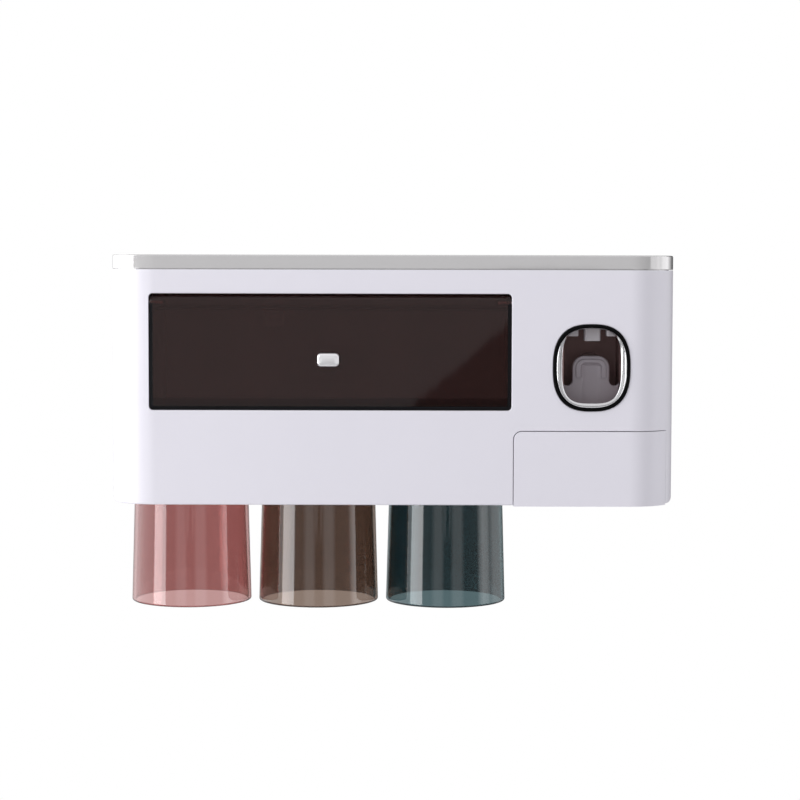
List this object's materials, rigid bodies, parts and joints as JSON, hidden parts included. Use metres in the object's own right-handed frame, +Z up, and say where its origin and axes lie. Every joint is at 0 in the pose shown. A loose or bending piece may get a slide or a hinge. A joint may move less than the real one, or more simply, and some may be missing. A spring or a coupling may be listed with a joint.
{
  "type": "wall-mounted toothbrush holder with toothpaste dispenser",
  "caption": "Wall-hung bathroom organiser: push-lever toothpaste dispenser, smoked flip-up door over a brush compartment, inverted rinsing cups and a corner drawer.",
  "frame": {"origin": "centre of the wall plate's hole pattern, on the wall plane", "axes": "+X to the user's right along the front, +Y into the wall, +Z up; the front face looks along -Y"},
  "size_m": [0.3576, 0.116, 0.2234],
  "materials": {
    "plate_white": "fine-grained moulded ABS",
    "foam_grey": "closed-cell adhesive foam",
    "cover_grey": "lightly textured charcoal ABS",
    "shell_white": "satin-gloss cool white ABS",
    "tray_grey": "glossy light grey",
    "deck_white": "satin moulded ABS",
    "magnet_nickel": "nickel plated",
    "liner_dark": "satin dark brown moulded",
    "rack_grey": "satin moulded",
    "smoked_door": "glossy smoked transparent acrylic",
    "knob_satin": "satin silver",
    "screw_steel": "zinc-plated",
    "disc_steel": "stamped stainless",
    "cup_rose": "glossy rose transparent plastic",
    "cup_taupe": "glossy taupe transparent plastic",
    "cup_slate": "glossy slate-blue transparent plastic",
    "gasket_black": "smooth black",
    "bezel_chrome": "polished plating",
    "lever_grey": "satin grey-mauve",
    "pump_white": "natural moulded",
    "spring_steel": "drawn spring wire",
    "silicone_clear": "translucent silicone",
    "silicone_grey": "soft matt silicone",
    "nozzle_grey": "satin grey",
    "drawer_white": "satin moulded ABS",
    "rail_white": "low-friction moulded acetal"
  },
  "bodies": {
    "wall_mount": {"wall_plate": "plate_white", "adhesive_pads": "foam_grey"},
    "housing": {"front_shell": "shell_white", "back_cover": "cover_grey", "tray": "tray_grey", "cup_deck": "deck_white", "deck_magnets": "magnet_nickel", "magnet_caps": "deck_white", "compartment_liner": "liner_dark", "brush_rack": "rack_grey", "catch_magnet": "magnet_nickel", "door_pins": "screw_steel", "window_gasket": "gasket_black", "bezel_ring": "bezel_chrome", "squeezer_housing": "liner_dark", "lever_pin": "screw_steel", "plunger_spring": "spring_steel", "pump_body": "pump_white", "pump_diaphragm": "silicone_clear", "pump_cover": "pump_white", "inlet_valve": "silicone_clear", "outlet_valve": "silicone_clear", "nozzle": "nozzle_grey", "paste_duct": "pump_white", "tube_socket": "silicone_grey", "drawer_rail_left": "rail_white", "drawer_rail_right": "rail_white", "case_screws": "screw_steel", "deck_screws": "screw_steel", "squeezer_screws": "screw_steel", "pump_screws": "screw_steel"},
    "door": {"door_panel": "smoked_door", "door_knob": "knob_satin", "knob_screw": "screw_steel", "catch_plate": "disc_steel"},
    "lever": {"push_lever": "lever_grey"},
    "plunger": {"plunger": "liner_dark"},
    "drawer": {"drawer_box": "drawer_white", "drawer_front": "shell_white", "drawer_screws": "screw_steel"},
    "left_cup": {"cup_left": "cup_rose", "cup_disc_left": "disc_steel"},
    "middle_cup": {"cup_middle": "cup_taupe", "cup_disc_middle": "disc_steel"},
    "right_cup": {"cup_right": "cup_slate", "cup_disc_right": "disc_steel"}
  },
  "joints": [
    {"name": "body_unhook", "type": "slide", "parent": "wall_mount", "child": "housing", "axis": [0, 0, 1], "range_m": [0, 0.0065]},
    {"name": "door_hinge", "type": "hinge", "parent": "housing", "child": "door", "pos_m": [-0.039, -0.1028, 0.018], "axis": [-1, 0, 0], "range_deg": [0, 90]},
    {"name": "lever_press", "type": "hinge", "parent": "housing", "child": "lever", "pos_m": [0.1258, -0.086, -0.042], "axis": [-1, 0, 0], "range_deg": [0, 17], "stiffness_Nm_per_rad": 0.2, "springref_deg": -7.45},
    {"name": "plunger_stroke", "type": "slide", "parent": "housing", "child": "plunger", "axis": [0, 1, 0], "range_m": [0, 0.0067], "deforming": ["plunger_spring", "pump_diaphragm"]},
    {"name": "drawer_slide", "type": "slide", "parent": "housing", "child": "drawer", "axis": [0, -1, 0], "range_m": [0, 0.065]},
    {"name": "left_cup_pull", "type": "slide", "parent": "housing", "child": "left_cup", "axis": [0, 0, -1], "range_m": [0, 0.035]},
    {"name": "middle_cup_pull", "type": "slide", "parent": "housing", "child": "middle_cup", "axis": [0, 0, -1], "range_m": [0, 0.035]},
    {"name": "right_cup_pull", "type": "slide", "parent": "housing", "child": "right_cup", "axis": [0, 0, -1], "range_m": [0, 0.035]}
  ],
  "couplings": [
    {"joint": "plunger_stroke", "follows": "lever_press", "m_per_rad": 0.0222}
  ]
}
